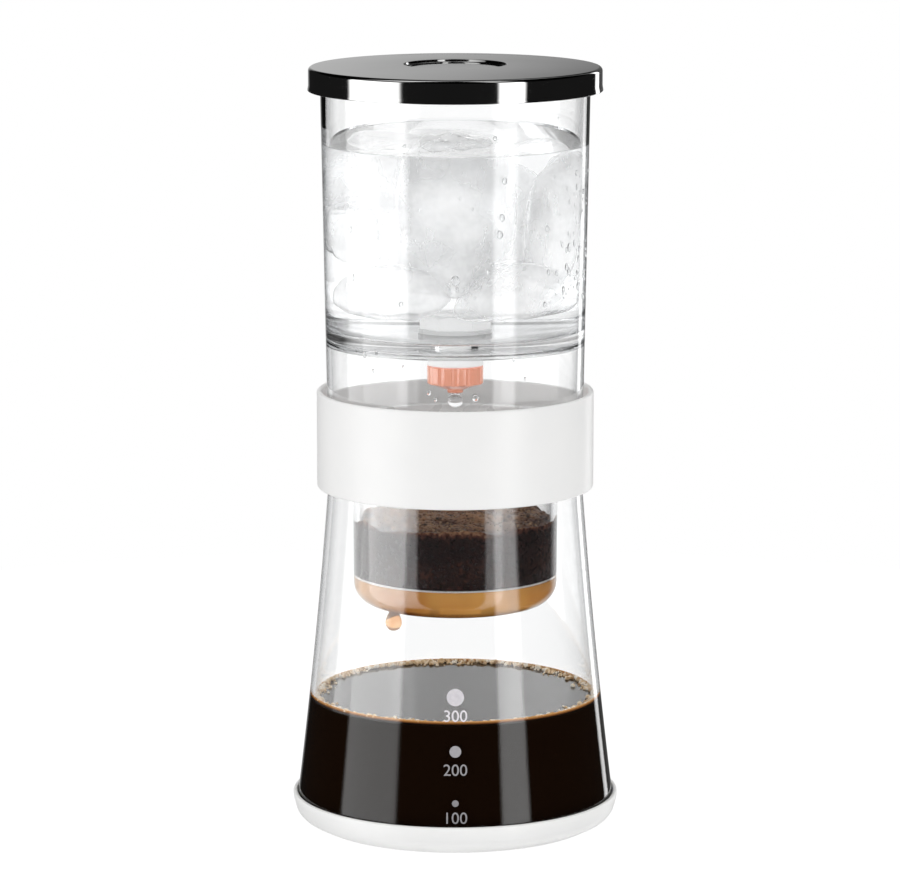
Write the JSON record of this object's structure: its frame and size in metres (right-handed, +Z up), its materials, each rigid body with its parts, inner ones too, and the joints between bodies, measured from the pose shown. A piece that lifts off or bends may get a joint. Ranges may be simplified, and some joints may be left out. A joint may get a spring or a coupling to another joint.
{
  "type": "cold drip coffee tower",
  "caption": "Round glass tower that drips cold water from a lidded tank through a needle valve onto ground coffee in a hanging basket, and into a flared glass carafe.",
  "frame": {"origin": "on the tower's axis, at the plane that the boot stands on", "axes": "+Z up, along the axis of the tower; -Y is the side of the carafe that carries the level marks"},
  "size_m": [0.1002, 0.1002, 0.234],
  "materials": {
    "white_rubber": "satin white silicone",
    "white_plastic": "satin white moulded plastic",
    "clear_glass": "clear blown borosilicate glass",
    "seal_silicone": "translucent white silicone",
    "frosted_plastic": "frosted translucent plastic",
    "knob_plastic": "glossy translucent salmon plastic",
    "filter_steel": "bright rolled stainless steel",
    "polished_steel": "mirror polished stainless steel"
  },
  "bodies": {
    "base": {"base_boot": "white_rubber"},
    "carafe": {"carafe": "clear_glass"},
    "collar": {"collar": "white_plastic", "carafe_gasket": "seal_silicone", "basket_seat_ring": "seal_silicone"},
    "basket": {"basket": "clear_glass"},
    "filter": {"filter_seal": "seal_silicone", "filter_frame": "filter_steel", "filter_mesh": "filter_steel"},
    "tank": {"tank": "clear_glass", "tank_seal_ring": "seal_silicone", "valve_washer_lower": "seal_silicone", "valve_washer_upper": "seal_silicone", "valve_body": "frosted_plastic", "valve_nut": "frosted_plastic", "valve_o_ring": "seal_silicone"},
    "needle": {"valve_needle": "filter_steel"},
    "knob": {"valve_knob": "knob_plastic"},
    "lid": {"lid": "polished_steel", "lid_gasket": "seal_silicone"}
  },
  "joints": [
    {"name": "carafe_lift", "type": "slide", "parent": "base", "child": "carafe", "axis": [0, 0, 1], "range_m": [0, 0.02]},
    {"name": "collar_lift", "type": "slide", "parent": "carafe", "child": "collar", "axis": [0, 0, 1], "range_m": [0, 0.055]},
    {"name": "basket_lift", "type": "slide", "parent": "collar", "child": "basket", "axis": [0, 0, 1], "range_m": [0, 0.07]},
    {"name": "filter_lift", "type": "slide", "parent": "basket", "child": "filter", "axis": [0, 0, 1], "range_m": [0, 0.03]},
    {"name": "tank_lift", "type": "slide", "parent": "basket", "child": "tank", "axis": [0, 0, 1], "range_m": [0, 0.02]},
    {"name": "valve_travel", "type": "slide", "parent": "tank", "child": "needle", "axis": [0, 0, -1], "range_m": [-0.00016, 0.00125]},
    {"name": "knob_turn", "type": "hinge", "parent": "needle", "child": "knob", "pos_m": [0, 0, 0.14], "axis": [0, 0, -1], "range_deg": [-46, 361]},
    {"name": "lid_lift", "type": "slide", "parent": "tank", "child": "lid", "axis": [0, 0, 1], "range_m": [0, 0.025]}
  ],
  "couplings": [
    {"joint": "knob_turn", "follows": "valve_travel", "rad_per_m": 5026.5}
  ]
}
